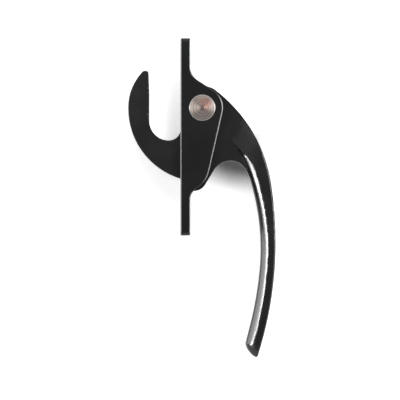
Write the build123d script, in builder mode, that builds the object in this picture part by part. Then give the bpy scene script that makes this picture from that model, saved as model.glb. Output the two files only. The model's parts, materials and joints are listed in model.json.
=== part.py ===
from build123d import *
import os
from math import acos, asin, atan2, cos, degrees, hypot, radians, sin, sqrt

# Window hook lock, side view in the XZ plane: +X into the room, +Z up, +Y across the width.
# The origin is the middle of the base plate's back face, which lies on the frame.
# Millimetres throughout.

# Base plate and its two cheeks
BASE_WIDTH = 20.0
PLATE_LENGTH = 78.8
PLATE_THICKNESS = 4.0
PLATE_CORNER_RADIUS = 1.5
BASE_EDGE_CHAMFER = 0.4
EYE_RADIUS = 8.25
SHOULDER_ABOVE_PIVOT = 12.8
SHOULDER_FILLET = 6.6
TOE_REACH = 6.5
TOE_BELOW_PIVOT = 29.3
TOE_ROOT_DROP = 4.7
TOE_RADIUS = 11.0
TOE_FILLET = 5.0

# Screws: two countersunk holes in the plate's ends
SCREW_SPACING = 66.0
SCREW_HOLE_DIAMETER = 4.5
SCREW_SINK_DIAMETER = 9.0
SCREW_SINK_ANGLE = 90.0

# Pivot
PIVOT_STANDOFF = 8.7
PIVOT_ABOVE_CENTRE = 11.6
SHANK_DIAMETER = 6.5
HEAD_DIAMETER = 10.4
HEAD_RIM_HEIGHT = 0.55
HEAD_CROWN = 0.35
HEAD_CHAMFER = 0.25
PIP_DIAMETER = 1.4
PIP_TOP_DIAMETER = 0.7
PIP_HEIGHT = 0.15
FORMED_DIAMETER = 9.6
FORMED_HEIGHT = 1.3

# Friction washers on both sides of the hub
WASHER_DIAMETER = 15.6
WASHER_THICKNESS = 0.5

# Clearances and stops
SHANK_CLEARANCE = 0.05
WASHER_CLEARANCE = 0.05
SWING_CLEARANCE = 0.4
STOP_CLEARANCE = 0.1
SLOT_ABOVE_PIVOT = 13.4

# Lever: hook, hub and web
WEB_THICKNESS = 9.0
WEB_EDGE_CHAMFER = 0.25
WEB_EDGE_SLOPE = 45.0
HUB_CROWN = 0.2
NECK_INSET = 0.15
HOOK_RADIUS = 29.65
HOOK_TOP_RADIUS = 21.0
HOOK_TIP_WIDTH = 2.05
HOOK_TIP_RADIUS = 0.95
THROAT_WIDTH = 12.65
THROAT_DEPTH = 13.0
THROAT_HOOK_RADIUS = 7.85
LEAD_IN_HEIGHT = 8.0
LEAD_IN = 0.3
TIP_THICKNESS = 7.0
TIP_BEVEL_LENGTH = 10.0
ARCH_REACH = 11.15
ARCH_BELOW_PIVOT = 28.65
ARCH_RADIUS = 7.5
HEEL_REACH = 3.2
HEEL_RISE = 1.45
HEEL_RADIUS = 5.0
HEEL_CORNER_RADIUS = 0.8

# Lever: grip, drawn as tangent arcs; each angle is where one arc hands over to the next
FRONT_RADIUS = 91.6
FRONT_START_ANGLE = 19.1
GRIP_FRONT_RADIUS = 145.6
GRIP_FRONT_START_ANGLE = -5.4
GRIP_FRONT_END_ANGLE = -17.3
GRIP_THICKNESS = 6.0
GRIP_WAIST_ANGLE = -3.0
GRIP_BACK_RADIUS = 148.5
GRIP_BACK_END_ANGLE = -18.2
BACK_RADIUS = 58.3
GRIP_END_BULGE = 0.9
GRIP_TIP_RADIUS = 0.9
GRIP_WIDTH = 13.0
GRIP_FINGER_ROUNDING = 4.0
GRIP_EDGE_RADIUS = 0.7
GRIP_HEEL_RADIUS = 1.5
GRIP_ROOT_REACH = 7.0
GRIP_ROOT_BELOW_PIVOT = 9.0
FINGER_CUT_OVERRUN = 5.0
END_CUT_OVERRUN = 25.0
ROUNDING_OVERRUN = 0.03
RELIEF_RADIUS = 10.0
RELIEF_BLEND_RADIUS = 60.0
RELIEF_OVERRUN = 0.1
WEB_END_ANGLE = 22.0
WEB_TAIL_RADIUS = 6.0
WEB_TAIL_SWEEP = 50.0

# Values that follow from the sizes above
slot_width = WEB_THICKNESS + 2 * (WASHER_THICKNESS + WASHER_CLEARANCE)
hub_radius = PIVOT_STANDOFF + HUB_CROWN
plate_front = PLATE_THICKNESS - PIVOT_STANDOFF
neck_x = NECK_INSET - PIVOT_STANDOFF
shank_radius = SHANK_DIAMETER / 2
bore_radius = shank_radius + SHANK_CLEARANCE
face_y = BASE_WIDTH / 2

# Pivot plane: its origin is the pivot, its x is the frame's X and its y is the frame's Z
PIVOT = (PIVOT_STANDOFF, 0, PIVOT_ABOVE_CENTRE)
SIDE = Plane(origin=PIVOT, x_dir=(1, 0, 0), z_dir=(0, -1, 0))
# Turning plane: x is the radius from the pivot and y is the frame's Y
TURN = Plane(origin=PIVOT, x_dir=(1, 0, 0), z_dir=(0, 0, 1))
PIVOT_AXIS = Axis(PIVOT, (0, 1, 0))


def on_arc(centre, radius, angle):
    """The point of a circle at an angle in degrees, in the pivot plane."""
    return (centre[0] + radius * cos(radians(angle)), centre[1] + radius * sin(radians(angle)))


def span(centre, radius, start, end):
    """An arc between two angles in degrees, drawn from the first to the second."""
    return CenterArc(centre, radius, start, end - start)


def arc_section(centre, angle):
    """The plane through an arc's axis at an angle: its x is the radius and its y is the frame's Y."""
    outward = (cos(radians(angle)), 0, sin(radians(angle)))
    along = (-sin(radians(angle)), 0, cos(radians(angle)))
    return Plane(origin=SIDE.from_local_coords(Vector(*centre)), x_dir=outward, z_dir=along)


def touch_angle(point, radius, turn):
    """Where a line from a point touches a circle about the pivot, in degrees; turn is 1 or -1."""
    away = degrees(acos(radius / hypot(*point)))
    return degrees(atan2(point[1], point[0])) + turn * away


os.makedirs("parts", exist_ok=True)

# Base bracket: plate and hump in one outline, then the lever's slot, the pivot bore and the screw holes
plate_top = PLATE_LENGTH / 2 - PIVOT_ABOVE_CENTRE
plate_low = -PLATE_LENGTH / 2 - PIVOT_ABOVE_CENTRE
shoulder = (plate_front, SHOULDER_ABOVE_PIVOT)
toe = (plate_front + TOE_REACH, -TOE_BELOW_PIVOT)
toe_root = (plate_front, toe[1] - TOE_ROOT_DROP)
eye_start = touch_angle(shoulder, EYE_RADIUS, -1)
eye_end = touch_angle(toe, EYE_RADIUS, 1)
heel_swing = hypot(HEEL_REACH, HOOK_RADIUS - HEEL_RISE) + HEEL_RADIUS
window_low = -(HOOK_RADIUS + SWING_CLEARANCE)
slot_floor = -(heel_swing + SWING_CLEARANCE)
slot_reach = EYE_RADIUS + TOE_REACH

with BuildPart() as base:
    with BuildSketch(SIDE) as outline:
        with BuildLine():
            Line(shoulder, on_arc((0, 0), EYE_RADIUS, eye_start))
            span((0, 0), EYE_RADIUS, eye_start, eye_end)
            Polyline(
                on_arc((0, 0), EYE_RADIUS, eye_end),
                toe,
                toe_root,
                (plate_front, plate_low),
                (-PIVOT_STANDOFF, plate_low),
                (-PIVOT_STANDOFF, plate_top),
                (plate_front, plate_top),
                shoulder,
            )
        make_face()
        fillet(outline.vertices().sort_by_distance(shoulder)[0], SHOULDER_FILLET)
        fillet(outline.vertices().sort_by_distance(toe)[0], TOE_RADIUS)
        fillet(outline.vertices().sort_by_distance(toe_root)[0], TOE_FILLET)
    extrude(amount=face_y, both=True)
    plate_ends = base.edges().filter_by(Axis.X).group_by(SortBy.LENGTH)[-1]
    fillet(plate_ends, PLATE_CORNER_RADIUS)
    rims = base.faces().sort_by(Axis.Y)[0].edges() + base.faces().sort_by(Axis.Y)[-1].edges()
    chamfer(rims, BASE_EDGE_CHAMFER)
    with BuildSketch(SIDE):
        with BuildLine():
            Polyline(
                (-PIVOT_STANDOFF, SLOT_ABOVE_PIVOT),
                (slot_reach, SLOT_ABOVE_PIVOT),
                (slot_reach, slot_floor),
                (plate_front, slot_floor),
                (plate_front, window_low),
                (-PIVOT_STANDOFF, window_low),
                close=True,
            )
        make_face()
    extrude(amount=slot_width / 2, both=True, mode=Mode.SUBTRACT)
    with Locations(SIDE):
        Hole(shank_radius)
    with Locations(Plane.YZ.offset(PLATE_THICKNESS)):
        with Locations((0, SCREW_SPACING / 2), (0, -SCREW_SPACING / 2)):
            CounterSinkHole(
                SCREW_HOLE_DIAMETER / 2,
                SCREW_SINK_DIAMETER / 2,
                PLATE_THICKNESS,
                SCREW_SINK_ANGLE,
            )
base.part.label = "base_bracket"
export_step(base.part, "parts/base_bracket.step")

# Arcs of the lever's side view, each tangent to the one before it
hook_top = (HOOK_TOP_RADIUS - HOOK_RADIUS, 0)
arch = (ARCH_REACH, -ARCH_BELOW_PIVOT)
front = on_arc(arch, ARCH_RADIUS - FRONT_RADIUS, FRONT_START_ANGLE)
grip_front = on_arc(front, FRONT_RADIUS - GRIP_FRONT_RADIUS, GRIP_FRONT_START_ANGLE)
# The palm side lies the grip's thickness from the finger side at the waist
grip_back = on_arc(front, FRONT_RADIUS + GRIP_THICKNESS - GRIP_BACK_RADIUS, GRIP_WAIST_ANGLE)
# The back arc touches the hub and the palm side, so its centre is where two circles cross
hub_gap = BACK_RADIUS - hub_radius
palm_gap = GRIP_BACK_RADIUS - BACK_RADIUS
centre_gap = hypot(*grip_back)
along = (hub_gap**2 - palm_gap**2 + centre_gap**2) / (2 * centre_gap)
aside = sqrt(hub_gap**2 - along**2)
back = (
    (along * grip_back[0] - aside * grip_back[1]) / centre_gap,
    (along * grip_back[1] + aside * grip_back[0]) / centre_gap,
)
back_start_angle = degrees(atan2(-back[1], -back[0]))
palm_start_angle = degrees(atan2(back[1] - grip_back[1], back[0] - grip_back[0]))
front_start = on_arc(arch, ARCH_RADIUS, FRONT_START_ANGLE)
back_end = on_arc(grip_back, GRIP_BACK_RADIUS, GRIP_BACK_END_ANGLE)
front_end = on_arc(grip_front, GRIP_FRONT_RADIUS, GRIP_FRONT_END_ANGLE)
grip_root = (GRIP_ROOT_REACH, -GRIP_ROOT_BELOW_PIVOT)
# The finger side leaves the web along an arc, tangent to the front arc, that ends at the grip's root
root_step = (grip_root[0] - front_start[0], grip_root[1] - front_start[1])
front_normal = on_arc((0, 0), 1, FRONT_START_ANGLE)
root_lean = root_step[0] * front_normal[0] + root_step[1] * front_normal[1]
root_radius = -(hypot(*root_step) ** 2) / (2 * root_lean)
root_arc = on_arc(front_start, -root_radius, FRONT_START_ANGLE)
root_angle = degrees(atan2(grip_root[1] - root_arc[1], grip_root[0] - root_arc[0]))


# The grip's end is an arc that bulges over the chord between its two corners
end_chord = (back_end[0] - front_end[0], back_end[1] - front_end[1])
half_chord = hypot(*end_chord) / 2
end_radius = (half_chord**2 + GRIP_END_BULGE**2) / (2 * GRIP_END_BULGE)
end_middle = ((front_end[0] + back_end[0]) / 2, (front_end[1] + back_end[1]) / 2)
end_facing = degrees(atan2(end_chord[1], end_chord[0])) - 90
end_half_angle = degrees(asin(half_chord / end_radius))
end_arc = on_arc(end_middle, GRIP_END_BULGE - end_radius, end_facing)

# The finger side from its lower end up to its root: centre, radius, first and last angle of each arc
finger_arcs = (
    (grip_front, GRIP_FRONT_RADIUS, GRIP_FRONT_END_ANGLE, GRIP_FRONT_START_ANGLE),
    (front, FRONT_RADIUS, GRIP_FRONT_START_ANGLE, FRONT_START_ANGLE),
    (root_arc, root_radius, FRONT_START_ANGLE, root_angle),
)
# The rounding follows these arcs, whose centres lie outside the grip, and the end, whose centre lies inside
end_reach = end_half_angle + END_CUT_OVERRUN
rounded_arcs = (
    (end_arc, end_radius, end_facing - end_reach, end_facing + end_reach, -1),
    (grip_front, GRIP_FRONT_RADIUS, GRIP_FRONT_END_ANGLE - FINGER_CUT_OVERRUN, GRIP_FRONT_START_ANGLE, 1),
    *((*arc, 1) for arc in finger_arcs[1:]),
)

# Grip: side view drawn out across its width, rounded towards the fingers and round its end,
# and coved round the hub so that it clears the cheeks as it swings
round_across = GRIP_WIDTH / 2 - GRIP_FINGER_ROUNDING + ROUNDING_OVERRUN
round_inward = GRIP_FINGER_ROUNDING - ROUNDING_OVERRUN
with BuildPart() as grip:
    with BuildSketch(SIDE) as grip_side:
        with BuildLine():
            for centre, radius, start, end in finger_arcs:
                span(centre, radius, start, end)
            Line(grip_root, on_arc((0, 0), hub_radius, back_start_angle))
            span(back, BACK_RADIUS, back_start_angle, palm_start_angle)
            span(grip_back, GRIP_BACK_RADIUS, palm_start_angle, GRIP_BACK_END_ANGLE)
            SagittaArc(back_end, front_end, GRIP_END_BULGE)
        make_face()
        fillet(grip_side.vertices().sort_by_distance(back_end)[0], GRIP_TIP_RADIUS)
        fillet(grip_side.vertices().sort_by_distance(front_end)[0], GRIP_HEEL_RADIUS)
    extrude(amount=GRIP_WIDTH / 2, both=True)
    rims = grip.faces().sort_by(Axis.Y)[0].edges() + grip.faces().sort_by(Axis.Y)[-1].edges()
    fillet(rims.filter_by(GeomType.CIRCLE), GRIP_EDGE_RADIUS)
    # What a quarter round leaves of a square corner, turned along each rounded arc
    for centre, radius, start, end, inward in rounded_arcs:
        with BuildSketch(arc_section(centre, start)):
            with BuildLine():
                round_centre = (radius + inward * round_inward, round_across)
                span(round_centre, GRIP_FINGER_ROUNDING, 90, 90 + inward * 90)
                Polyline(
                    (radius - inward * ROUNDING_OVERRUN, round_across),
                    (radius - inward * GRIP_FINGER_ROUNDING, round_across),
                    (radius - inward * GRIP_FINGER_ROUNDING, GRIP_WIDTH),
                    (radius + inward * round_inward, GRIP_WIDTH),
                    (radius + inward * round_inward, GRIP_WIDTH / 2 + ROUNDING_OVERRUN),
                )
            make_face()
            mirror(about=Plane.XZ)
        arc_axis = Axis(SIDE.from_local_coords(Vector(*centre)), SIDE.z_dir)
        revolve(axis=arc_axis, revolution_arc=end - start, mode=Mode.SUBTRACT)
    # The side falls to the web in a concave arc and a convex one, turned about the pivot
    relief_low = WEB_THICKNESS / 2 - WEB_EDGE_CHAMFER - RELIEF_OVERRUN
    relief_high = GRIP_WIDTH / 2 + RELIEF_OVERRUN
    blend_rise = (relief_high - relief_low) / 2
    blend_slope = degrees(acos(1 - blend_rise / RELIEF_BLEND_RADIUS))
    blend_run = RELIEF_BLEND_RADIUS * sin(radians(blend_slope))
    blend_end = RELIEF_RADIUS + 2 * blend_run
    foot_centre = (RELIEF_RADIUS, relief_low + RELIEF_BLEND_RADIUS)
    brow_centre = (blend_end, relief_high - RELIEF_BLEND_RADIUS)
    with BuildSketch(TURN):
        with BuildLine():
            span(foot_centre, RELIEF_BLEND_RADIUS, -90, blend_slope - 90)
            span(brow_centre, RELIEF_BLEND_RADIUS, 90 + blend_slope, 90)
            Polyline(
                (blend_end, relief_high),
                (blend_end, GRIP_WIDTH),
                (0, GRIP_WIDTH),
                (0, relief_low),
                (RELIEF_RADIUS, relief_low),
            )
        make_face()
        mirror(about=Plane.XZ)
    revolve(axis=PIVOT_AXIS, mode=Mode.SUBTRACT)

# Lever: hook, hub, web and heel as one plate, joined to the grip
hook_inner = neck_x - THROAT_WIDTH
throat_neck_radius = THROAT_WIDTH - THROAT_HOOK_RADIUS
throat_low = hook_inner + THROAT_HOOK_RADIUS
throat_hook = (throat_low, THROAT_HOOK_RADIUS - THROAT_DEPTH)
throat_neck = (throat_low, throat_neck_radius - THROAT_DEPTH)
neck_top = sqrt(hub_radius**2 - neck_x**2)
neck_angle = degrees(atan2(neck_top, neck_x))
tip_reach = hook_top[0] - (hook_inner - LEAD_IN - HOOK_TIP_WIDTH)
tip_height = sqrt(HOOK_TOP_RADIUS**2 - tip_reach**2)
tip_outer = (hook_top[0] - tip_reach, tip_height)
tip_inner = (hook_inner - LEAD_IN, tip_height)
heel = (-HEEL_REACH, HEEL_RISE - HOOK_RADIUS)
heel_stop = plate_front + STOP_CLEARANCE
stop_low = heel[1] - sqrt(HEEL_RADIUS**2 - (heel_stop - heel[0]) ** 2)
stop_high = -sqrt(HOOK_RADIUS**2 - heel_stop**2)
stop_low_angle = degrees(atan2(stop_low - heel[1], heel_stop - heel[0]))
stop_high_angle = degrees(atan2(stop_high, heel_stop))
# The straight foot of the web touches the arch and the heel on opposite sides
between = (heel[0] - arch[0], heel[1] - arch[1])
foot_turn = degrees(acos((ARCH_RADIUS + HEEL_RADIUS) / hypot(*between)))
foot_angle = degrees(atan2(between[1], between[0])) % 360 - foot_turn

# Below the arch the web runs out into the grip along an arc
tail = on_arc(front_start, WEB_TAIL_RADIUS, FRONT_START_ANGLE)
tail_end_angle = FRONT_START_ANGLE + 180 + WEB_TAIL_SWEEP

with BuildPart() as lever:
    with BuildSketch(SIDE) as web:
        with BuildLine():
            Polyline(
                tip_outer,
                tip_inner,
                (hook_inner, tip_height - LEAD_IN_HEIGHT),
                (hook_inner, throat_hook[1]),
            )
            span(throat_hook, THROAT_HOOK_RADIUS, 180, 270)
            span(throat_neck, throat_neck_radius, 270, 360)
            Line((neck_x, throat_neck[1]), (neck_x, neck_top))
            span((0, 0), hub_radius, neck_angle, back_start_angle)
            span(back, BACK_RADIUS, back_start_angle, WEB_END_ANGLE)
            Line(on_arc(back, BACK_RADIUS, WEB_END_ANGLE), on_arc(tail, WEB_TAIL_RADIUS, tail_end_angle))
            span(tail, WEB_TAIL_RADIUS, tail_end_angle, tail_end_angle - WEB_TAIL_SWEEP)
            span(arch, ARCH_RADIUS, FRONT_START_ANGLE, foot_angle)
            Line(on_arc(arch, ARCH_RADIUS, foot_angle), on_arc(heel, HEEL_RADIUS, foot_angle - 180))
            span(heel, HEEL_RADIUS, foot_angle - 180, stop_low_angle)
            Line((heel_stop, stop_low), (heel_stop, stop_high))
            span((0, 0), HOOK_RADIUS, stop_high_angle, -180)
            span(hook_top, HOOK_TOP_RADIUS, 180, degrees(atan2(tip_height, -tip_reach)))
        make_face()
        fillet(web.vertices().sort_by_distance(tip_outer)[0], HOOK_TIP_RADIUS)
        fillet(web.vertices().sort_by_distance(tip_inner)[0], HOOK_TIP_RADIUS)
        fillet(web.vertices().sort_by_distance((heel_stop, stop_low))[0], HEEL_CORNER_RADIUS)
        fillet(web.vertices().sort_by_distance((heel_stop, stop_high))[0], HEEL_CORNER_RADIUS)
    extrude(amount=WEB_THICKNESS / 2 - WEB_EDGE_CHAMFER, both=True)
    for side in (lever.faces().sort_by(Axis.Y)[0], lever.faces().sort_by(Axis.Y)[-1]):
        extrude(side, amount=WEB_EDGE_CHAMFER, taper=WEB_EDGE_SLOPE)
    tip_top = PIVOT_ABOVE_CENTRE + tip_height
    with BuildSketch(Plane.YZ.offset(PIVOT_STANDOFF + hook_inner)):
        with BuildLine():
            Polyline(
                (TIP_THICKNESS / 2, tip_top),
                (WEB_THICKNESS / 2, tip_top - TIP_BEVEL_LENGTH),
                (WEB_THICKNESS / 2, tip_top),
                close=True,
            )
        make_face()
        mirror(about=Plane.YZ)
    extrude(amount=HOOK_RADIUS, both=True, mode=Mode.SUBTRACT)
    add(grip.part)
    with Locations(SIDE):
        Hole(bore_radius)
lever.part.label = "hook_lever"
export_step(lever.part, "parts/hook_lever.step")

# Pivot rivet: turned head on the near side, shank, head formed on the far side
head_radius = HEAD_DIAMETER / 2
head_rim = -face_y - HEAD_RIM_HEIGHT
head_crown = head_rim - HEAD_CROWN
formed_radius = FORMED_DIAMETER / 2
dome_radius = (formed_radius**2 + FORMED_HEIGHT**2) / (2 * FORMED_HEIGHT)
dome_centre = face_y + FORMED_HEIGHT - dome_radius
with BuildPart() as rivet:
    with BuildSketch(TURN):
        with BuildLine():
            Polyline(
                (0, face_y + FORMED_HEIGHT),
                (0, head_crown - PIP_HEIGHT),
                (PIP_TOP_DIAMETER / 2, head_crown - PIP_HEIGHT),
                (PIP_DIAMETER / 2, head_crown),
                (head_radius - HEAD_CHAMFER, head_rim),
                (head_radius, head_rim + HEAD_CHAMFER),
                (head_radius, -face_y),
                (shank_radius, -face_y),
                (shank_radius, face_y),
                (formed_radius, face_y),
            )
            span((0, dome_centre), dome_radius, degrees(atan2(face_y - dome_centre, formed_radius)), 90)
        make_face()
    revolve(axis=PIVOT_AXIS)
rivet.part.label = "pivot_rivet"
export_step(rivet.part, "parts/pivot_rivet.step")

# Friction washers: one each side of the hub, resting on the cheeks
for name, side in (("friction_washer_near", -1), ("friction_washer_far", 1)):
    with BuildPart() as washer:
        with BuildSketch(SIDE.offset(-side * (slot_width - WASHER_THICKNESS) / 2)):
            Circle(WASHER_DIAMETER / 2)
            Circle(bore_radius, mode=Mode.SUBTRACT)
        extrude(amount=WASHER_THICKNESS / 2, both=True)
    washer.part.label = name
    export_step(washer.part, f"parts/{name}.step")
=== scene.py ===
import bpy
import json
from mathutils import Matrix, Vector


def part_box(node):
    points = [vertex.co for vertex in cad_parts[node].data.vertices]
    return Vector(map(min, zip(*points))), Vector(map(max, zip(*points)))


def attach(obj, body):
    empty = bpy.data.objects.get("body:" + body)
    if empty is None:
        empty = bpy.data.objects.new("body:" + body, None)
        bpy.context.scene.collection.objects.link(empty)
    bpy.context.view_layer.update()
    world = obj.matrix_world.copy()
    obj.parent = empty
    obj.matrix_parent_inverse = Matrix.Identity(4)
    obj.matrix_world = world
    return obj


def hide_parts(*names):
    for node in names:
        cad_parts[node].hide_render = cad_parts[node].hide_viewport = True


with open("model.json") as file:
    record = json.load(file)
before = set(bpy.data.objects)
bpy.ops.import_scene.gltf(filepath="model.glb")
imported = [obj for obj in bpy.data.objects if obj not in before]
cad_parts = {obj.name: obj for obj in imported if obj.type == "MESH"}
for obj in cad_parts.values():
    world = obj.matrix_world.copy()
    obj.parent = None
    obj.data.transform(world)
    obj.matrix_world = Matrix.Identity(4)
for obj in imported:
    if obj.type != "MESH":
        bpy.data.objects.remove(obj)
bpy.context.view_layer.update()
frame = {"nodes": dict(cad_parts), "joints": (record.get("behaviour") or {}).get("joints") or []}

import json
from math import asin, cos, pi, radians, sin

import bpy
from bpy.props import FloatProperty, FloatVectorProperty, IntProperty, PointerProperty
from bpy.types import Operator, Panel, PropertyGroup
from mathutils import Matrix, Vector

bl_info = {
    "name": "Hook lock",
    "version": (1, 0, 0),
    "blender": (4, 5, 0),
    "location": "3D View > Sidebar > Hook lock",
    "description": "Dresses the packed hook lock with its finishes, its turned rivet and a plain studio",
    "category": "Object",
}

# The frame: +X towards the room, +Z up along the plate, the camera looks along +Y
RIVET_LOW, RIVET_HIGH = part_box("pivot_rivet")
LEVER_LOW, LEVER_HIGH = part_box("hook_lever")
PIVOT = Vector(frame["joints"][0]["pos_m"])
HEAD_RADIUS = (RIVET_HIGH.x - RIVET_LOW.x) / 2
CHEEK_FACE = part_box("base_bracket")[1].y
# The middle of the picture
VIEW_MIDDLE = Vector((0.0078, 0.0, -0.0252))

# Kept back from the CAD rivet's far face, so that rounding doesn't lift the dome out of its box
SHAVE = 1e-6
# Vertices that are nearer to each other than this are one
MERGE_GAP = 1e-6

# The grip's end: the height where the finger rounding meets the end's own rounding in an edge,
# the middle of the cuts across it, and the place behind which nothing is softened
END_EDGE = LEVER_LOW.z + 0.00516288
END_MIDDLE = LEVER_HIGH.x - 0.01034822
END_BACK = LEVER_HIGH.x - 0.00774822

# The coating: how much lighter its clouds are, how far its roughness strays, the roughness that the
# worn chips and the painted rim highlight add, and the height of its dust against its orange peel
COAT_CLOUD = 1.3
COAT_STRAY = 0.02
WEAR_AND_HIGHLIGHT_ROUGHNESS = 0.15
DUST_HEIGHT = 0.12
# Where the keeper rubs the hook: the throat's inner side and the middle of the rubbed height,
# and the distances from them over which the chips fade out
RUBBED_SIDE = PIVOT.x - 0.0213
RUBBED_MIDDLE = PIVOT.z + 0.0019
SIDE_FADE = (0.0003, 0.0006)
MIDDLE_FADE = (0.006, 0.009)

# The rivet's head: how far its rings wander, as a share of their pitch, the reddest place and how far
# its red reaches, the radii where the rim starts, and those where the painted shade round the pip starts
# and stops
RING_DRIFT = 0.6
STAIN_MIDDLE = PIVOT + Vector((0.0013, 0.0, 0.0017))
STAIN_FADE = (0.0008, 0.0035)
RIM_FADE = (HEAD_RADIUS - 0.0007, HEAD_RADIUS - 0.0004)
MOAT_START = (0.0003, 0.0005)
MOAT_STOP = (0.0007, 0.001)
# How much lighter the washers are where they are worn
WASHER_WEAR = 1.8

# All panels stand at one distance; their directions are degrees left of the camera and degrees up
PANEL_DISTANCE = 0.6
# The strip light's bends, and the radiance of each stretch
STRIP_CORNERS = ((28.0, 2.0), (31.0, -2.0), (39.0, -9.0), (61.0, -18.0))
STRIP_RADIANCE = (48.0, 42.0, 32.0)
STRIP_WIDTH = 0.12
# Panels that only reflections show: direction, width and height, radiance, and the group they show on
GLOSS_PANELS = (
    ("panel_near_left", (46.0, 4.0), (0.13, 0.17), 12.0, "lever_gloss"),
    ("panel_left", (65.0, 5.0), (0.28, 0.18), 6.0, "lever_gloss"),
    ("panel_far_left", (94.0, 4.0), (0.3, 0.25), 3.8, None),
    ("panel_right", (-32.0, 10.0), (0.2, 0.3), 8.0, "castings_gloss"),
    ("rivet_left", (28.0, 7.0), (0.16, 0.3), 2.6, "rivet_gloss"),
    ("rivet_right", (-28.0, 12.0), (0.16, 0.3), 3.5, "rivet_gloss"),
    ("rivet_top", (0.0, 30.0), (0.3, 0.16), 0.7, "rivet_gloss"),
    ("panel_far_right", (-98.0, 8.0), (0.36, 0.4), 5.0, None),
)
# Panels that light the matt surfaces and leave no mirror image
FILL_PANELS = (
    ("fill_right", (-40.0, 12.0), (0.3, 0.3), 6.0),
    ("fill_top", (0.0, 42.0), (0.3, 0.3), 6.0),
)
# Lights the lock's far side
BACK_PANEL = ("panel_back", (170.0, 25.0), (0.43, 0.34), 2.0)

# The dim room behind the camera: its size and distance, and its glow from low to high
ROOM_SIZE = 4.4
ROOM_DISTANCE = 3.2
ROOM_HEIGHTS = (-0.6, 1.2)
ROOM_GLOW = (0.13, 0.45)

# The board's glow fades under the arch and in the throat: the middle of the shade, how each axis counts,
# the distances from the weakest glow to the full one, and where the shade ends on its open side
ARCH_SHADE = PIVOT + Vector((0.0238, 0.0, -0.0191))
ARCH_STRETCH = (0.357, 0.0, 1.0)
ARCH_FADE = (0.006, 0.017)
ARCH_CURVE = 0.8
ARCH_END = (PIVOT.x + 0.0183, PIVOT.x + 0.0353)
THROAT_SHADE = PIVOT + Vector((-0.0111, 0.0, -0.0092))
THROAT_STRETCH = (1.0, 0.0, 0.25)
THROAT_FADE = (0.0, 0.0096)
THROAT_GLOW = 0.565
THROAT_END = (PIVOT.z - 0.0236, PIVOT.z - 0.0156)


class HookLockFinish(PropertyGroup):
    """Colours and surface sizes of the lock's finishes."""

    coat_colour: FloatVectorProperty(
        name="Coat",
        description="Colour of the black coating on the castings",
        default=(0.0052, 0.0055, 0.006),
        subtype="COLOR",
        min=0.0,
        max=1.0,
    )
    # Painted highlight: a light grey laid over the base's long rims, where their edges catch the lamps
    painted_rim_highlight_colour: FloatVectorProperty(
        name="Rim highlight",
        description="Colour painted along the base's long rims as a highlight",
        default=(0.3, 0.305, 0.31),
        subtype="COLOR",
        min=0.0,
        max=1.0,
    )
    bare_metal_colour: FloatVectorProperty(
        name="Rubbed metal",
        description="Casting that shows where the keeper rubs the hook",
        default=(0.2, 0.14, 0.1),
        subtype="COLOR",
        min=0.0,
        max=1.0,
    )
    coat_roughness: FloatProperty(
        name="Coat roughness",
        description="Mean roughness of the coating",
        default=0.22,
        subtype="FACTOR",
        min=0.0,
        max=1.0,
    )
    peel_size: FloatProperty(
        name="Orange peel",
        description="Distance between the coating's soft bumps",
        default=0.0009,
        unit="LENGTH",
        min=0.0001,
        precision=6,
    )
    rivet_colour: FloatVectorProperty(
        name="Rivet steel",
        description="Colour of the turned steel",
        default=(0.57, 0.51, 0.475),
        subtype="COLOR",
        min=0.0,
        max=1.0,
    )
    stain_colour: FloatVectorProperty(
        name="Rivet stain",
        description="Warm stain on the turned steel",
        default=(0.62, 0.33, 0.27),
        subtype="COLOR",
        min=0.0,
        max=1.0,
    )
    # A darker tone laid along the turning rings
    groove_colour: FloatVectorProperty(
        name="Rivet grooves",
        description="Darker tone along the turning rings",
        default=(0.22, 0.19, 0.17),
        subtype="COLOR",
        min=0.0,
        max=1.0,
    )
    rim_colour: FloatVectorProperty(
        name="Rivet rim",
        description="Steel along the rim of the head",
        default=(0.52, 0.485, 0.455),
        subtype="COLOR",
        min=0.0,
        max=1.0,
    )
    # Painted shade: a dark ring round the pip, where a groove would lie in shadow
    painted_moat_shade_colour: FloatVectorProperty(
        name="Rivet centre",
        description="Painted shade around the pip",
        default=(0.1, 0.09, 0.085),
        subtype="COLOR",
        min=0.0,
        max=1.0,
    )
    rivet_roughness: FloatProperty(
        name="Rivet roughness",
        description="Roughness of the turned steel",
        default=0.3,
        subtype="FACTOR",
        min=0.0,
        max=1.0,
    )
    washer_colour: FloatVectorProperty(
        name="Washer",
        description="Colour of the plastic washers",
        default=(0.02, 0.02, 0.021),
        subtype="COLOR",
        min=0.0,
        max=1.0,
    )


class HookLockLever(PropertyGroup):
    """How the lever's visible mesh is smoothed."""

    flat_angle: FloatProperty(
        name="Flat angle",
        description="Faces that turn less than this become one flat face",
        default=radians(0.3),
        subtype="ANGLE",
        min=0.0,
    )
    smooth_angle: FloatProperty(
        name="Smooth angle",
        description="Edges that turn more than this stay sharp",
        default=radians(32),
        subtype="ANGLE",
        min=0.0,
    )
    end_reach: FloatProperty(
        name="End reach",
        description="How far to each side of its edge the grip's end is softened",
        default=0.005,
        unit="LENGTH",
        min=0.0001,
        precision=6,
    )
    end_cuts: IntProperty(
        name="End cuts",
        description="Cuts across the softened end, to each side of its edge",
        default=15,
        min=1,
    )
    end_passes: IntProperty(
        name="End passes",
        description="Passes of smoothing over the grip's end",
        default=60,
        min=0,
    )


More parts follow.
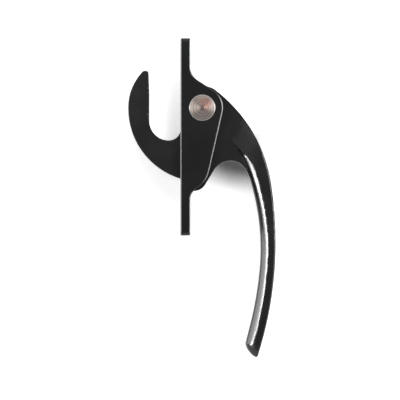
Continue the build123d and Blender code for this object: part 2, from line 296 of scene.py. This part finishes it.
class HookLockRivet(PropertyGroup):
    """Sizes of the turned rivet."""

    ring_pitch: FloatProperty(
        name="Ring pitch",
        description="Distance from one turning ring to the next",
        default=0.0011,
        unit="LENGTH",
        min=0.0001,
        precision=6,
    )
    ring_depth: FloatProperty(
        name="Ring depth",
        description="Height of a turning ring over its groove",
        default=0.00003,
        unit="LENGTH",
        min=0.0,
        precision=6,
    )
    chamfer: FloatProperty(
        name="Chamfer",
        description="Chamfer along the rim of the head",
        default=0.00025,
        unit="LENGTH",
        min=0.0,
        precision=6,
    )
    rim_height: FloatProperty(
        name="Rim height",
        description="Height of the head at its rim",
        default=0.00055,
        unit="LENGTH",
        min=0.0,
        precision=6,
    )
    pip_radius: FloatProperty(
        name="Pip radius",
        description="Radius of the pip in the middle of the head",
        default=0.0007,
        unit="LENGTH",
        min=0.0,
        precision=6,
    )
    pip_height: FloatProperty(
        name="Pip height",
        description="Height of the pip over the crown",
        default=0.00006,
        unit="LENGTH",
        min=0.0,
        precision=6,
    )
    shank_radius: FloatProperty(
        name="Shank radius",
        description="Radius of the shank in the cheeks",
        default=0.00325,
        unit="LENGTH",
        min=0.001,
        precision=6,
    )
    formed_radius: FloatProperty(
        name="Formed radius",
        description="Radius of the end that is formed on the far side",
        default=0.0048,
        unit="LENGTH",
        min=0.001,
        precision=6,
    )
    segments: IntProperty(
        name="Segments",
        description="Sides of the turned rounds",
        default=160,
        min=32,
    )
    dome_steps: IntProperty(
        name="Dome steps",
        description="Steps from the rim of the formed end to its top",
        default=10,
        min=2,
    )
    smooth_angle: FloatProperty(
        name="Smooth angle",
        description="Edges that turn more than this stay sharp",
        default=radians(35),
        subtype="ANGLE",
        min=0.0,
    )


class HookLockStage(PropertyGroup):
    """Sizes and strengths of the studio."""

    frame_width: FloatProperty(
        name="Frame width",
        description="Width that the camera sees at the lock",
        default=0.16,
        unit="LENGTH",
        min=0.01,
        precision=6,
    )
    lens: FloatProperty(
        name="Lens",
        description="Focal length; a long one keeps the side view square",
        default=600.0,
        unit="CAMERA",
    )
    board_gap: FloatProperty(
        name="Board gap",
        description="Gap between the rivet's far head and the white board",
        default=0.0001,
        unit="LENGTH",
        min=0.0,
        precision=6,
    )
    board_size: FloatProperty(
        name="Board size",
        description="Width and height of the white board",
        default=0.8,
        unit="LENGTH",
        min=0.01,
        precision=6,
    )
    board_colour: FloatVectorProperty(
        name="Board",
        description="Colour of the white board",
        default=(0.95, 0.95, 0.95),
        subtype="COLOR",
        min=0.0,
        max=1.0,
    )
    board_glow: FloatProperty(
        name="Board glow",
        description="Light that the board adds for the camera, so that it stays white",
        default=0.8,
        min=0.0,
    )


def add_node(tree, kind, **settings):
    """A new shader node with its settings."""
    node = tree.nodes.new(kind)
    for name, value in settings.items():
        setattr(node, name, value)
    return node


def maths(tree, operation, *values):
    """A Math node's result; each value is a socket or a number."""
    node = add_node(tree, "ShaderNodeMath", operation=operation)
    for socket, value in zip(node.inputs, values):
        if isinstance(value, bpy.types.NodeSocket):
            tree.links.new(value, socket)
        else:
            socket.default_value = value
    return node.outputs["Value"]


def ramp(tree, value, low, high, to_low=0.0, to_high=1.0):
    """A value eased from one range to another, held at its ends."""
    node = add_node(tree, "ShaderNodeMapRange", interpolation_type="SMOOTHSTEP")
    tree.links.new(value, node.inputs["Value"])
    node.inputs["From Min"].default_value = low
    node.inputs["From Max"].default_value = high
    node.inputs["To Min"].default_value = to_low
    node.inputs["To Max"].default_value = to_high
    return node.outputs["Result"]


def noise(tree, place, scale, detail=2.0, roughness=0.5):
    """Noise on a set of coordinates, about 0.5 in the mean."""
    node = add_node(tree, "ShaderNodeTexNoise")
    tree.links.new(place, node.inputs["Vector"])
    node.inputs["Scale"].default_value = scale
    node.inputs["Detail"].default_value = detail
    node.inputs["Roughness"].default_value = roughness
    return node.outputs["Fac"]


def blend_colour(tree, share, first, second):
    """Two colours mixed by a share; each colour is a socket or three numbers."""
    node = add_node(tree, "ShaderNodeMix", data_type="RGBA")
    tree.links.new(share, node.inputs["Factor"])
    # The mix node keeps its colour sockets behind those for numbers and vectors
    for socket, value in zip(node.inputs[6:8], (first, second)):
        if isinstance(value, bpy.types.NodeSocket):
            tree.links.new(value, socket)
        else:
            socket.default_value = (*value, 1.0)
    return node.outputs[2]


def split_axes(tree, place):
    """The X, Y and Z of a vector socket."""
    node = add_node(tree, "ShaderNodeSeparateXYZ")
    tree.links.new(place, node.inputs["Vector"])
    return node.outputs["X"], node.outputs["Y"], node.outputs["Z"]


def new_surface(name):
    """A new material with a Principled shader; returns it, its tree, its shader and its coordinates."""
    material = bpy.data.materials.new(name)
    material.use_nodes = True
    tree = material.node_tree
    shader = tree.nodes["Principled BSDF"]
    coordinates = add_node(tree, "ShaderNodeTexCoord")
    return material, tree, shader, coordinates.outputs


def add_bump(tree, shader, height, strength, distance):
    """Lays a height on the shader's normal."""
    node = add_node(tree, "ShaderNodeBump")
    node.inputs["Strength"].default_value = strength
    node.inputs["Distance"].default_value = distance
    tree.links.new(height, node.inputs["Height"])
    tree.links.new(node.outputs["Normal"], shader.inputs["Normal"])


def stretched_distance(tree, place, centre, stretch):
    """How far a place is from a centre, with each axis counted by its own share."""
    away = add_node(tree, "ShaderNodeVectorMath", operation="SUBTRACT")
    tree.links.new(place, away.inputs[0])
    away.inputs[1].default_value = centre
    counted = add_node(tree, "ShaderNodeVectorMath", operation="MULTIPLY")
    tree.links.new(away.outputs["Vector"], counted.inputs[0])
    counted.inputs[1].default_value = stretch
    length = add_node(tree, "ShaderNodeVectorMath", operation="LENGTH")
    tree.links.new(counted.outputs["Vector"], length.inputs[0])
    return length.outputs["Value"]


def painted_rim_highlight_share(tree, coordinates):
    """Share of painted highlight: the base's long rims, which lean halfway between the sides and the
    flat faces, speckled.
    """
    facing_x, facing_y, _ = split_axes(tree, coordinates["Normal"])
    lean = maths(tree, "ABSOLUTE", maths(tree, "MULTIPLY", facing_x, facing_y))
    speckle = noise(tree, coordinates["Object"], scale=2600.0, detail=3.0, roughness=0.6)
    grain = ramp(tree, speckle, low=0.2, high=0.55, to_low=0.6)
    return maths(tree, "MULTIPLY", ramp(tree, lean, low=0.35, high=0.46), grain)


def rubbed_share(tree, coordinates):
    """Share of rubbed metal: chips on the hook's inner side, above the bottom of the throat."""
    x, _, z = split_axes(tree, coordinates["Object"])
    off_side = maths(tree, "ABSOLUTE", maths(tree, "SUBTRACT", x, RUBBED_SIDE))
    off_middle = maths(tree, "ABSOLUTE", maths(tree, "SUBTRACT", z, RUBBED_MIDDLE))
    side = ramp(tree, off_side, *SIDE_FADE, to_low=1.0, to_high=0.0)
    band = ramp(tree, off_middle, *MIDDLE_FADE, to_low=1.0, to_high=0.0)
    speckle = noise(tree, coordinates["Object"], scale=900.0, detail=4.0, roughness=0.65)
    chips = ramp(tree, speckle, low=0.54, high=0.6)
    return maths(tree, "MULTIPLY", maths(tree, "MULTIPLY", side, band), chips)


def black_coat(name, finish, wear_and_highlight_share, wear_and_highlight_colour):
    """Satin black coating with soft orange peel, and another colour over a share: worn chips on the
    lever, a painted highlight along the base's long rims.
    """
    material, tree, shader, coordinates = new_surface(name)
    place = coordinates["Object"]
    # On the lever this share is worn chips; on the base it is a painted highlight along the long rims
    worn = wear_and_highlight_share(tree, coordinates)
    cloud = noise(tree, place, scale=90.0, detail=3.0, roughness=0.55)
    lighter = tuple(COAT_CLOUD * part for part in finish.coat_colour)
    tone = blend_colour(tree, ramp(tree, cloud, low=0.35, high=0.65), finish.coat_colour, lighter)
    tree.links.new(blend_colour(tree, worn, tone, wear_and_highlight_colour), shader.inputs["Base Color"])

    smoothest = finish.coat_roughness - COAT_STRAY
    roughest = finish.coat_roughness + COAT_STRAY
    rough = ramp(tree, cloud, low=0.3, high=0.7, to_low=smoothest, to_high=roughest)
    rough = maths(tree, "ADD", rough, maths(tree, "MULTIPLY", worn, WEAR_AND_HIGHLIGHT_ROUGHNESS))
    tree.links.new(rough, shader.inputs["Roughness"])
    shader.inputs["IOR"].default_value = 1.55

    peel = noise(tree, place, scale=1.0 / finish.peel_size, detail=2.0, roughness=0.4)
    dust = noise(tree, place, scale=9.0 / finish.peel_size, detail=1.0, roughness=0.5)
    height = maths(tree, "ADD", peel, maths(tree, "MULTIPLY", dust, DUST_HEIGHT))
    add_bump(tree, shader, height, strength=0.16, distance=0.00002)
    return material


def turned_steel(finish, rivet):
    """Bare turned steel: rings round the pivot, a warm stain, a plain rim of slightly darker steel and
    painted shade around the pip.
    """
    material, tree, shader, coordinates = new_surface("rivet_steel_turned")
    place = coordinates["Object"]
    x, _, z = split_axes(tree, place)
    across = maths(tree, "SUBTRACT", x, PIVOT.x)
    above = maths(tree, "SUBTRACT", z, PIVOT.z)
    square = maths(tree, "ADD", maths(tree, "POWER", across, 2.0), maths(tree, "POWER", above, 2.0))
    radius = maths(tree, "SQRT", square)
    patch = noise(tree, place, scale=420.0, detail=3.0, roughness=0.6)
    sway = noise(tree, place, scale=260.0, detail=0.0)
    drift = maths(tree, "MULTIPLY", maths(tree, "SUBTRACT", sway, 0.5), RING_DRIFT * rivet.ring_pitch)
    turns = maths(tree, "MULTIPLY", maths(tree, "ADD", radius, drift), 2 * pi / rivet.ring_pitch)
    rings = maths(tree, "SINE", turns)

    from_stain = stretched_distance(tree, place, STAIN_MIDDLE, (1.0, 0.0, 1.0))
    near_stain = ramp(tree, from_stain, *STAIN_FADE, to_low=1.0, to_high=0.25)
    stain = maths(tree, "MULTIPLY", ramp(tree, patch, low=0.3, high=0.6), near_stain)
    tone = blend_colour(tree, stain, finish.rivet_colour, finish.stain_colour)
    # A darker tone along the turning rings
    groove = ramp(tree, rings, low=0.0, high=0.9, to_high=0.5)
    tone = blend_colour(tree, groove, tone, finish.groove_colour)
    tone = blend_colour(tree, ramp(tree, radius, *RIM_FADE), tone, finish.rim_colour)
    # Painted shade: a dark ring round the pip
    outside = ramp(tree, radius, *MOAT_STOP, to_low=0.75, to_high=0.0)
    painted_moat_shade = maths(tree, "MULTIPLY", ramp(tree, radius, *MOAT_START), outside)
    tone = blend_colour(tree, painted_moat_shade, tone, finish.painted_moat_shade_colour)
    tree.links.new(tone, shader.inputs["Base Color"])
    shader.inputs["Metallic"].default_value = 1.0

    smoothest = finish.rivet_roughness - 0.01
    roughest = finish.rivet_roughness + 0.03
    rough = ramp(tree, sway, low=0.3, high=0.7, to_low=smoothest, to_high=roughest)
    tree.links.new(rough, shader.inputs["Roughness"])
    # The fine grooves spread a light outwards from the middle, as a turned face does
    outwards = add_node(tree, "ShaderNodeCombineXYZ")
    tree.links.new(across, outwards.inputs["X"])
    tree.links.new(above, outwards.inputs["Z"])
    tree.links.new(outwards.outputs["Vector"], shader.inputs["Tangent"])
    shader.inputs["Anisotropic"].default_value = 0.8
    add_bump(tree, shader, rings, strength=0.25, distance=0.00002)
    return material


def washer_plastic(finish):
    """Matt moulded plastic with a fine spark-eroded grain."""
    material, tree, shader, coordinates = new_surface("washer_plastic_matt")
    place = coordinates["Object"]
    grain = noise(tree, place, scale=4000.0, detail=2.0, roughness=0.6)
    worn = ramp(tree, noise(tree, place, scale=500.0), low=0.4, high=0.7)
    lighter = tuple(WASHER_WEAR * part for part in finish.washer_colour)
    tree.links.new(blend_colour(tree, worn, finish.washer_colour, lighter), shader.inputs["Base Color"])
    rough = ramp(tree, grain, low=0.3, high=0.7, to_low=0.5, to_high=0.62)
    tree.links.new(rough, shader.inputs["Roughness"])
    add_bump(tree, shader, grain, strength=0.2, distance=0.00001)
    return material


def set_material(piece, material):
    """Gives every slot of a piece one material."""
    if not piece.data.materials:
        piece.data.materials.append(material)
    for index in range(len(piece.data.materials)):
        piece.data.materials[index] = material


def start_mesh(add, **settings):
    """Adds a primitive with nothing else selected and leaves it in edit mode."""
    if bpy.context.object and bpy.context.object.mode != "OBJECT":
        bpy.ops.object.mode_set(mode="OBJECT")
    bpy.ops.object.select_all(action="DESELECT")
    add(**settings)
    piece = bpy.context.object
    bpy.ops.object.mode_set(mode="EDIT")
    return piece


def finish_mesh(piece, name, angle):
    """Merges a mesh's doubles, turns its faces outwards, smooths it and puts its place into the mesh."""
    bpy.ops.mesh.select_all(action="SELECT")
    bpy.ops.mesh.remove_doubles(threshold=MERGE_GAP)
    bpy.ops.mesh.normals_make_consistent(inside=False)
    bpy.ops.object.mode_set(mode="OBJECT")
    bpy.ops.object.transform_apply(location=True, rotation=True, scale=True)
    bpy.ops.object.shade_smooth_by_angle(angle=angle)
    piece.name = name
    piece.data.name = name


def draw_out(along, ratio=1.0):
    """Extrudes the selected rim along Y and scales it about the pivot."""
    bpy.ops.mesh.extrude_edges_move(TRANSFORM_OT_translate={"value": (0.0, along, 0.0)})
    if ratio != 1.0:
        bpy.ops.transform.resize(value=(ratio, 1.0, ratio), center_override=PIVOT)


class HOOKLOCK_OT_coat_base(Operator):
    """Coats the base in satin black, with a painted highlight along its long rims"""

    bl_idname = "hook_lock.coat_base"
    bl_label = "Coat the base"

    def execute(self, context):
        finish = context.scene.hook_lock_finish
        # The base's long rims get a painted highlight in light grey
        coat = black_coat("black_coat_base", finish, painted_rim_highlight_share, finish.painted_rim_highlight_colour)
        set_material(frame["nodes"]["base_bracket"], coat)
        return {"FINISHED"}


class HOOKLOCK_OT_polish_lever(Operator):
    """Smooths the lever, so that a light draws one line along its grip, and coats it in satin black"""

    bl_idname = "hook_lock.polish_lever"
    bl_label = "Polish the lever"

    def execute(self, context):
        sizes = context.scene.hook_lock_lever
        piece = bpy.data.objects.new("polished_lever", frame["nodes"]["hook_lever"].data.copy())
        context.scene.collection.objects.link(piece)
        bpy.ops.object.select_all(action="DESELECT")
        context.view_layer.objects.active = piece
        piece.select_set(True)
        bpy.ops.mesh.customdata_custom_splitnormals_clear()
        bpy.ops.object.mode_set(mode="EDIT")
        bpy.ops.mesh.select_all(action="SELECT")
        bpy.ops.mesh.remove_doubles(threshold=MERGE_GAP)
        # Each flat becomes one face, which later leads the normals along its edges
        bpy.ops.mesh.dissolve_limited(angle_limit=sizes.flat_angle)
        self.cut_end(piece, sizes)
        self.soften_end(piece, sizes)
        bpy.ops.object.shade_smooth_by_angle(angle=sizes.smooth_angle)
        lead = piece.modifiers.new("flats_lead", "WEIGHTED_NORMAL")
        lead.keep_sharp = True
        bpy.ops.object.modifier_apply(modifier=lead.name)

        finish = context.scene.hook_lock_finish
        coat = black_coat("black_coat_lever", finish, rubbed_share, finish.bare_metal_colour)
        set_material(piece, coat)
        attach(piece, "lever")
        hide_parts("hook_lever")
        return {"FINISHED"}

    def cut_end(self, piece, sizes):
        """Cuts the grip's end into small even faces, so that it can be softened."""
        bpy.ops.mesh.select_all(action="DESELECT")
        bpy.ops.mesh.select_mode(type="FACE")
        bpy.ops.object.mode_set(mode="OBJECT")
        heights = [vertex.co.z for vertex in piece.data.vertices]
        for face in piece.data.polygons:
            face.select = min(heights[index] for index in face.vertices) < END_EDGE + sizes.end_reach
        bpy.ops.object.mode_set(mode="EDIT")
        bpy.ops.mesh.hide(unselected=True)
        for cut in range(-sizes.end_cuts, sizes.end_cuts):
            offset = (cut + 0.5) * sizes.end_reach / sizes.end_cuts
            bpy.ops.mesh.select_all(action="SELECT")
            bpy.ops.mesh.bisect(plane_co=(0.0, 0.0, END_EDGE + offset), plane_no=(0.0, 0.0, 1.0))
            bpy.ops.mesh.select_all(action="SELECT")
            bpy.ops.mesh.bisect(plane_co=(END_MIDDLE + offset, 0.0, 0.0), plane_no=(1.0, 0.0, 0.0))
        bpy.ops.mesh.reveal()
        bpy.ops.object.mode_set(mode="OBJECT")

    def soften_end(self, piece, sizes):
        """Rounds off the edge at the grip's end, most on the edge itself and less away from it."""
        soft = piece.vertex_groups.new(name="finger_end")
        for vertex in piece.data.vertices:
            weight = 1 - abs(vertex.co.z - END_EDGE) / sizes.end_reach
            if weight > 0 and vertex.co.x < END_BACK:
                soft.add([vertex.index], weight, "REPLACE")
        round_off = piece.modifiers.new("round_off", "SMOOTH")
        round_off.iterations = sizes.end_passes
        round_off.vertex_group = soft.name
        bpy.ops.object.modifier_apply(modifier=round_off.name)
        piece.vertex_groups.clear()


class HOOKLOCK_OT_dress_washers(Operator):
    """Gives the friction washers their moulded plastic"""

    bl_idname = "hook_lock.dress_washers"
    bl_label = "Dress the washers"

    def execute(self, context):
        plastic = washer_plastic(context.scene.hook_lock_finish)
        for name in ("friction_washer_near", "friction_washer_far"):
            set_material(frame["nodes"][name], plastic)
        return {"FINISHED"}


class HOOKLOCK_OT_turn_rivet(Operator):
    """Turns the pivot rivet: a ringed, crowned head with a pip, its shank and its formed end"""

    bl_idname = "hook_lock.turn_rivet"
    bl_label = "Turn the rivet"

    def execute(self, context):
        sizes = context.scene.hook_lock_rivet
        rim = -CHEEK_FACE - sizes.rim_height
        crown = RIVET_LOW.y + sizes.pip_height
        face_radius = HEAD_RADIUS - sizes.chamfer
        piece = start_mesh(
            bpy.ops.mesh.primitive_circle_add,
            vertices=sizes.segments,
            radius=face_radius,
            fill_type="NGON",
            location=(PIVOT.x, rim, PIVOT.z),
            rotation=(radians(90), 0.0, 0.0),
        )
        # Each step in is about half a pitch, up onto a ring or down into a groove, on a shallow crown
        bpy.ops.mesh.select_mode(type="FACE")
        bpy.ops.mesh.select_all(action="SELECT")
        ringed_width = face_radius - sizes.pip_radius
        steps = 2 * int(ringed_width / sizes.ring_pitch)
        rise = (rim - crown) / steps
        for index in range(steps):
            ring = sizes.ring_depth if index % 2 == 0 else -sizes.ring_depth
            bpy.ops.mesh.inset(thickness=ringed_width / steps, depth=rise + ring)
        bpy.ops.mesh.inset(thickness=sizes.pip_radius / 2, depth=sizes.pip_height)
        # Rim, back of the head and shank, drawn out from the face's edge
        bpy.ops.mesh.select_mode(type="EDGE")
        bpy.ops.mesh.select_all(action="DESELECT")
        bpy.ops.mesh.select_non_manifold()
        draw_out(sizes.chamfer, HEAD_RADIUS / face_radius)
        draw_out(sizes.rim_height - sizes.chamfer)
        draw_out(0.0, sizes.shank_radius / HEAD_RADIUS)
        draw_out(2 * CHEEK_FACE)
        draw_out(0.0, sizes.formed_radius / sizes.shank_radius)
        self.close_dome(sizes)
        finish_mesh(piece, "turned_rivet", sizes.smooth_angle)
        set_material(piece, turned_steel(context.scene.hook_lock_finish, sizes))
        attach(piece, "base")
        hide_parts("pivot_rivet")
        return {"FINISHED"}

    def close_dome(self, sizes):
        """Draws the formed end's rim up over a dome and closes it at the top."""
        height = RIVET_HIGH.y - CHEEK_FACE - SHAVE
        dome = (sizes.formed_radius**2 + height**2) / (2 * height)
        step = asin(sizes.formed_radius / dome) / sizes.dome_steps
        for index in range(sizes.dome_steps, 1, -1):
            here = index * step
            there = here - step
            draw_out(dome * (cos(there) - cos(here)), sin(there) / sin(here))
        draw_out(dome * (1 - cos(step)))
        bpy.ops.mesh.merge(type="CENTER")


def toward(angle, rise):
    """The direction at an angle left of the camera and a rise above the level, both in degrees."""
    level = cos(radians(rise))
    return Vector((-level * sin(radians(angle)), -level * cos(radians(angle)), sin(radians(rise))))


def add_panel(name, away, size, radiance, upright=Vector((0.0, 0.0, 1.0))):
    """A soft panel that faces the lock, with its height along the upright direction."""
    lamp = bpy.data.lights.new(name, "AREA")
    lamp.shape = "RECTANGLE"
    lamp.size, lamp.size_y = size
    lamp.energy = radiance * pi * size[0] * size[1]
    panel = bpy.data.objects.new(name, lamp)
    bpy.context.scene.collection.objects.link(panel)
    height = (upright - upright.dot(away) * away).normalized()
    turn = Matrix((height.cross(away), height, away)).transposed()
    panel.matrix_world = Matrix.Translation(VIEW_MIDDLE + PANEL_DISTANCE * away) @ turn.to_4x4()
    return panel


class HOOKLOCK_OT_set_stage(Operator):
    """Sets the white board, the dim room behind the camera, the soft panels and the camera"""

    bl_idname = "hook_lock.set_stage"
    bl_label = "Set the stage"

    def execute(self, context):
        stage = context.scene.hook_lock_stage
        self.add_board(stage)
        self.add_room()
        self.light_world(context.scene)
        self.add_panels()
        self.add_camera(context.scene, stage)
        return {"FINISHED"}

    def add_board(self, stage):
        """The white board that the lock lies on; seen from behind it isn't there."""
        board = start_mesh(
            bpy.ops.mesh.primitive_plane_add,
            size=stage.board_size,
            location=(VIEW_MIDDLE.x, RIVET_HIGH.y + stage.board_gap, VIEW_MIDDLE.z),
            rotation=(radians(90), 0.0, 0.0),
        )
        bpy.ops.mesh.subdivide(number_cuts=3)
        bpy.ops.object.mode_set(mode="OBJECT")
        bpy.ops.object.transform_apply(location=True, rotation=True, scale=True)
        board.name = "white_board"
        material, tree, shader, coordinates = new_surface("white_board_matt")
        shader.inputs["Base Color"].default_value = (*stage.board_colour, 1.0)
        shader.inputs["Roughness"].default_value = 0.9
        shader.inputs["Specular IOR Level"].default_value = 0.0
        shader.inputs["Emission Color"].default_value = (1.0, 1.0, 1.0, 1.0)
        path = add_node(tree, "ShaderNodeLightPath")
        glow = maths(tree, "MULTIPLY", self.glow_share(tree, coordinates["Object"]), stage.board_glow)
        glow = maths(tree, "MULTIPLY", path.outputs["Is Camera Ray"], glow)
        tree.links.new(glow, shader.inputs["Emission Strength"])
        clear = add_node(tree, "ShaderNodeBsdfTransparent")
        side = add_node(tree, "ShaderNodeNewGeometry")
        choose = add_node(tree, "ShaderNodeMixShader")
        tree.links.new(side.outputs["Backfacing"], choose.inputs["Fac"])
        tree.links.new(shader.outputs["BSDF"], choose.inputs[1])
        tree.links.new(clear.outputs["BSDF"], choose.inputs[2])
        tree.links.new(choose.outputs["Shader"], tree.nodes["Material Output"].inputs["Surface"])
        set_material(board, material)
        board.visible_diffuse = False
        board.visible_glossy = False
        board.visible_transmission = False
        board.visible_shadow = False

    def glow_share(self, tree, place):
        """Share of the board's glow, which fades under the arch and in the throat to leave a shadow."""
        x, _, z = split_axes(tree, place)
        arch = ramp(tree, stretched_distance(tree, place, ARCH_SHADE, ARCH_STRETCH), *ARCH_FADE)
        arch = maths(tree, "POWER", arch, ARCH_CURVE)
        arch = maths(tree, "MAXIMUM", arch, ramp(tree, x, *ARCH_END))
        throat = stretched_distance(tree, place, THROAT_SHADE, THROAT_STRETCH)
        throat = ramp(tree, throat, *THROAT_FADE, to_low=THROAT_GLOW)
        throat = maths(tree, "MAXIMUM", throat, ramp(tree, z, *THROAT_END, to_low=1.0, to_high=0.0))
        return maths(tree, "MULTIPLY", arch, throat)

    def add_room(self):
        """The dim room behind the camera, which the flat faces mirror."""
        room = start_mesh(
            bpy.ops.mesh.primitive_plane_add,
            size=ROOM_SIZE,
            location=(VIEW_MIDDLE.x, -ROOM_DISTANCE, VIEW_MIDDLE.z),
            rotation=(radians(-90), 0.0, 0.0),
        )
        bpy.ops.object.mode_set(mode="OBJECT")
        bpy.ops.object.transform_apply(location=True, rotation=True, scale=True)
        room.name = "dim_room"
        material, tree, shader, coordinates = new_surface("dim_room_grey")
        tree.nodes.remove(shader)
        glow = add_node(tree, "ShaderNodeEmission")
        _, _, z = split_axes(tree, coordinates["Object"])
        tree.links.new(ramp(tree, z, *ROOM_HEIGHTS, *ROOM_GLOW), glow.inputs["Strength"])
        tree.links.new(glow.outputs["Emission"], tree.nodes["Material Output"].inputs["Surface"])
        set_material(room, material)
        room.visible_camera = False
        room.visible_shadow = False
        room.visible_diffuse = False

    def light_world(self, scene):
        """White to the camera and to mirrors, a soft grey fill for everything else."""
        world = bpy.data.worlds.new("studio")
        world.use_nodes = True
        tree = world.node_tree
        fill = tree.nodes["Background"]
        fill.inputs["Color"].default_value = (1.0, 1.0, 1.0, 1.0)
        fill.inputs["Strength"].default_value = 0.2
        white = add_node(tree, "ShaderNodeBackground")
        white.inputs["Color"].default_value = (1.0, 1.0, 1.0, 1.0)
        white.inputs["Strength"].default_value = 1.0
        path = add_node(tree, "ShaderNodeLightPath")
        seen = maths(tree, "MAXIMUM", path.outputs["Is Camera Ray"], path.outputs["Is Glossy Ray"])
        seen = maths(tree, "MAXIMUM", seen, path.outputs["Is Transmission Ray"])
        choose = add_node(tree, "ShaderNodeMixShader")
        tree.links.new(seen, choose.inputs["Fac"])
        tree.links.new(fill.outputs["Background"], choose.inputs[1])
        tree.links.new(white.outputs["Background"], choose.inputs[2])
        tree.links.new(choose.outputs["Shader"], tree.nodes["World Output"].inputs["Surface"])
        scene.world = world

    def add_panels(self):
        """A bent strip draws the line down the grip, and softer panels shade the rest."""
        lever = bpy.data.objects["polished_lever"]
        # A panel that is linked to a group shows on its pieces alone: the plate's flat back would mirror
        # the strips whole, and the turned rivet has its own pattern
        groups = {
            "lever_gloss": (lever,),
            "rivet_gloss": (bpy.data.objects["turned_rivet"],),
            "castings_gloss": (lever, frame["nodes"]["base_bracket"]),
        }
        for name, pieces in groups.items():
            group = bpy.data.collections.new(name)
            for piece in pieces:
                group.objects.link(piece)
        corners = [toward(*corner) for corner in STRIP_CORNERS]
        for index, (high, low) in enumerate(zip(corners, corners[1:])):
            run = high - low
            middle = (high + low).normalized()
            size = (STRIP_WIDTH, PANEL_DISTANCE * run.length)
            strip = add_panel(f"strip_{index + 1}", middle, size, STRIP_RADIANCE[index], upright=run)
            strip.light_linking.receiver_collection = bpy.data.collections["lever_gloss"]
            strip.visible_diffuse = False
        for name, direction, size, radiance, group in GLOSS_PANELS:
            panel = add_panel(name, toward(*direction), size, radiance)
            panel.visible_diffuse = False
            if group:
                panel.light_linking.receiver_collection = bpy.data.collections[group]
        for name, direction, size, radiance in FILL_PANELS:
            add_panel(name, toward(*direction), size, radiance).visible_glossy = False
        name, direction, size, radiance = BACK_PANEL
        add_panel(name, toward(*direction), size, radiance)

    def add_camera(self, scene, stage):
        """A long lens, square to the lock's side."""
        camera = bpy.data.cameras.new("side_view")
        camera.lens = stage.lens
        camera.sensor_width = 36.0
        camera.clip_end = 20.0
        distance = stage.lens / camera.sensor_width * stage.frame_width
        viewer = bpy.data.objects.new("side_view", camera)
        viewer.location = VIEW_MIDDLE + Vector((0.0, -distance, 0.0))
        viewer.rotation_euler = (radians(90), 0.0, 0.0)
        scene.collection.objects.link(viewer)
        scene.camera = viewer
        scene.view_settings.view_transform = "Standard"


class HOOKLOCK_PT_build(Panel):
    """The hook lock's sizes, finishes and steps"""

    bl_label = "Hook lock"
    bl_idname = "HOOKLOCK_PT_build"
    bl_space_type = "VIEW_3D"
    bl_region_type = "UI"
    bl_category = "Hook lock"

    def draw(self, context):
        layout = self.layout
        for group in (
            context.scene.hook_lock_finish,
            context.scene.hook_lock_lever,
            context.scene.hook_lock_rivet,
            context.scene.hook_lock_stage,
        ):
            box = layout.box()
            for name in group.bl_rna.properties.keys():
                if name not in ("rna_type", "name"):
                    box.prop(group, name)
        for step in STEPS:
            layout.operator(step.bl_idname)


STEPS = (
    HOOKLOCK_OT_coat_base,
    HOOKLOCK_OT_polish_lever,
    HOOKLOCK_OT_dress_washers,
    HOOKLOCK_OT_turn_rivet,
    HOOKLOCK_OT_set_stage,
)
CLASSES = (HookLockFinish, HookLockLever, HookLockRivet, HookLockStage, *STEPS, HOOKLOCK_PT_build)


def register():
    for cls in CLASSES:
        bpy.utils.register_class(cls)
    bpy.types.Scene.hook_lock_finish = PointerProperty(type=HookLockFinish)
    bpy.types.Scene.hook_lock_lever = PointerProperty(type=HookLockLever)
    bpy.types.Scene.hook_lock_rivet = PointerProperty(type=HookLockRivet)
    bpy.types.Scene.hook_lock_stage = PointerProperty(type=HookLockStage)


def unregister():
    del bpy.types.Scene.hook_lock_stage
    del bpy.types.Scene.hook_lock_rivet
    del bpy.types.Scene.hook_lock_lever
    del bpy.types.Scene.hook_lock_finish
    for cls in reversed(CLASSES):
        bpy.utils.unregister_class(cls)


def main():
    register()
    bpy.ops.hook_lock.coat_base()
    bpy.ops.hook_lock.polish_lever()
    bpy.ops.hook_lock.dress_washers()
    bpy.ops.hook_lock.turn_rivet()
    bpy.ops.hook_lock.set_stage()


if __name__ == "__main__":
    main()
